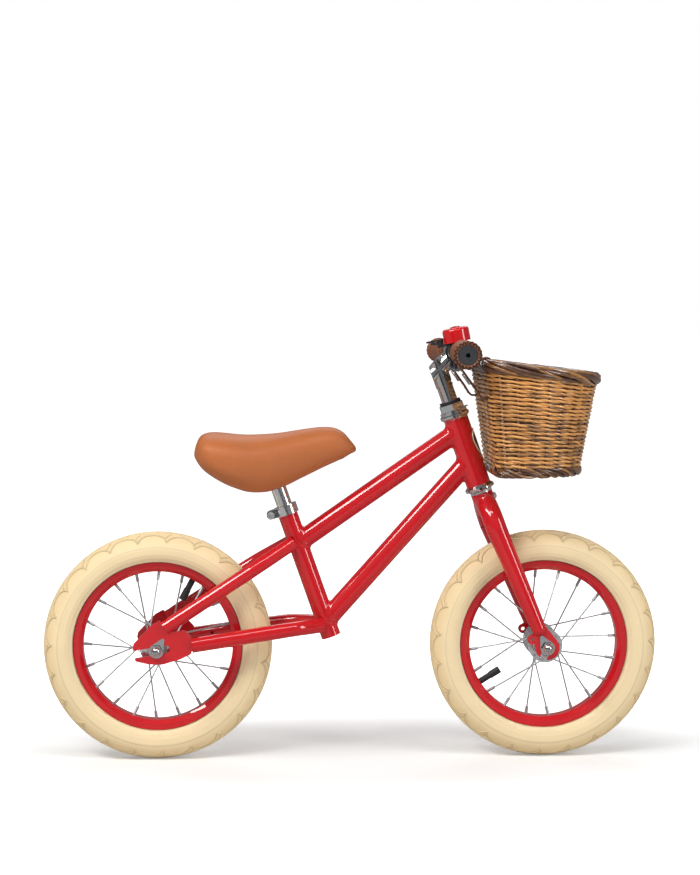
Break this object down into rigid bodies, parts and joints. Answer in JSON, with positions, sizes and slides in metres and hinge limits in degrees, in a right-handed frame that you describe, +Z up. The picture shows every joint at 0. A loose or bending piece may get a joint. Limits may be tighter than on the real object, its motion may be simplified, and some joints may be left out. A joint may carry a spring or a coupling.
{
  "type": "balance bike",
  "caption": "Child's steel balance bike with spoked wheels, pneumatic tyres, quill stem, swept handlebar with bell, wicker basket and adjustable saddle; no pedals.",
  "frame": {"origin": "on the ground, midway between the two axles in the bike's middle plane", "axes": "+X to the front of the bike, +Y to the rider's left, +Z up"},
  "size_m": [0.795, 0.4114, 0.5601],
  "materials": {
    "red_paint": "gloss enamel",
    "red_rim": "gloss enamel",
    "red_bell": "gloss enamel",
    "badge_bronze": "dark satin with a pale edge",
    "chrome": "mirror polish",
    "bolt_steel": "bright zinc plate",
    "polished_aluminium": "polished",
    "axle_steel": "ground",
    "spoke_steel": "drawn, bright",
    "cream_tyre": "matte cream rubber",
    "tube_rubber": "matte",
    "seal_rubber": "satin",
    "bell_black": "satin black",
    "plug_grey": "matte",
    "grip_leather": "grained brown",
    "saddle_leather": "smooth tan",
    "strap_leather": "dark brown",
    "wicker": "varnished willow",
    "saddle_plastic": "satin black"
  },
  "bodies": {
    "frame": {"head_tube": "red_paint", "top_tube": "red_paint", "down_tube": "red_paint", "seat_tube": "red_paint", "seat_stays": "red_paint", "chain_stays": "red_paint", "rear_dropouts": "red_paint", "head_badge": "badge_bronze", "upper_headset_cup": "chrome", "lower_headset_cup": "chrome", "seat_clamp": "polished_aluminium", "seat_clamp_bolt": "bolt_steel", "rear_axle": "axle_steel", "rear_bearings": "axle_steel", "rear_spacers": "axle_steel", "rear_tab_washers": "chrome", "rear_axle_nuts": "chrome"},
    "fork": {"fork_steerer": "bolt_steel", "fork_crown": "red_paint", "fork_legs": "red_paint", "fork_dropouts": "red_paint", "crown_screw": "bolt_steel", "crown_race": "bolt_steel", "headset_balls": "bolt_steel", "headset_top_race": "chrome", "headset_lock_washer": "chrome", "headset_locknut": "chrome", "headset_seal": "seal_rubber", "front_axle": "axle_steel", "front_bearings": "axle_steel", "front_spacers": "axle_steel", "front_tab_washers": "chrome", "front_axle_nuts": "chrome"},
    "front_wheel": {"front_hub": "polished_aluminium", "front_spokes": "spoke_steel", "front_nipples": "spoke_steel", "front_rim": "red_rim", "front_inner_tube": "tube_rubber", "front_tyre": "cream_tyre"},
    "rear_wheel": {"rear_hub": "polished_aluminium", "rear_spokes": "spoke_steel", "rear_nipples": "spoke_steel", "rear_rim": "red_rim", "rear_inner_tube": "tube_rubber", "rear_tyre": "cream_tyre"},
    "stem": {"quill_stem": "chrome", "quill_bolt": "bolt_steel", "quill_wedge": "bolt_steel", "stem_clamp_bolt": "bolt_steel"},
    "bar": {"handlebar": "chrome", "grips": "grip_leather", "bar_end_plugs": "plug_grey", "bell_bracket": "bell_black", "bell_dome": "red_bell"},
    "bell_lever": {"bell_lever": "bell_black"},
    "basket": {"basket": "wicker", "basket_straps": "strap_leather"},
    "seatpost": {"seatpost": "polished_aluminium"},
    "saddle": {"saddle_cover": "saddle_leather", "saddle_base": "saddle_plastic"}
  },
  "joints": [
    {"name": "steering", "type": "hinge", "parent": "frame", "child": "fork", "pos_m": [0.16555, 0, 0.35475], "axis": [-0.3297, 0, 0.9441], "range_deg": [-80, 80]},
    {"name": "front_wheel_spin", "type": "hinge", "parent": "fork", "child": "front_wheel", "pos_m": [0.25, 0, 0.1475], "axis": [0, 1, 0], "continuous": true},
    {"name": "rear_wheel_spin", "type": "hinge", "parent": "frame", "child": "rear_wheel", "pos_m": [-0.25, 0, 0.1475], "axis": [0, 1, 0], "continuous": true},
    {"name": "stem_height", "type": "slide", "parent": "fork", "child": "stem", "axis": [-0.3297, 0, 0.9441], "range_m": [0, 0.02]},
    {"name": "handlebar_roll", "type": "hinge", "parent": "stem", "child": "bar", "pos_m": [0.1361, 0, 0.52705], "axis": [0, 1, 0], "range_deg": [-10, 10]},
    {"name": "basket_swing", "type": "hinge", "parent": "stem", "child": "basket", "pos_m": [0.1361, 0, 0.52705], "axis": [0, -1, 0], "range_deg": [0, 50]},
    {"name": "bell_lever_press", "type": "hinge", "parent": "bar", "child": "bell_lever", "pos_m": [0.11202, -0.044, 0.53561], "axis": [-0.1908, 0, 0.9816], "range_deg": [0, 25], "stiffness_Nm_per_rad": 0.05},
    {"name": "seatpost_height", "type": "slide", "parent": "frame", "child": "seatpost", "axis": [-0.3322, 0, 0.9432], "range_m": [-0.01, 0.04]},
    {"name": "saddle_tilt", "type": "hinge", "parent": "seatpost", "child": "saddle", "pos_m": [-0.09841, 0, 0.36322], "axis": [0, 1, 0], "range_deg": [-8, 8]}
  ]
}
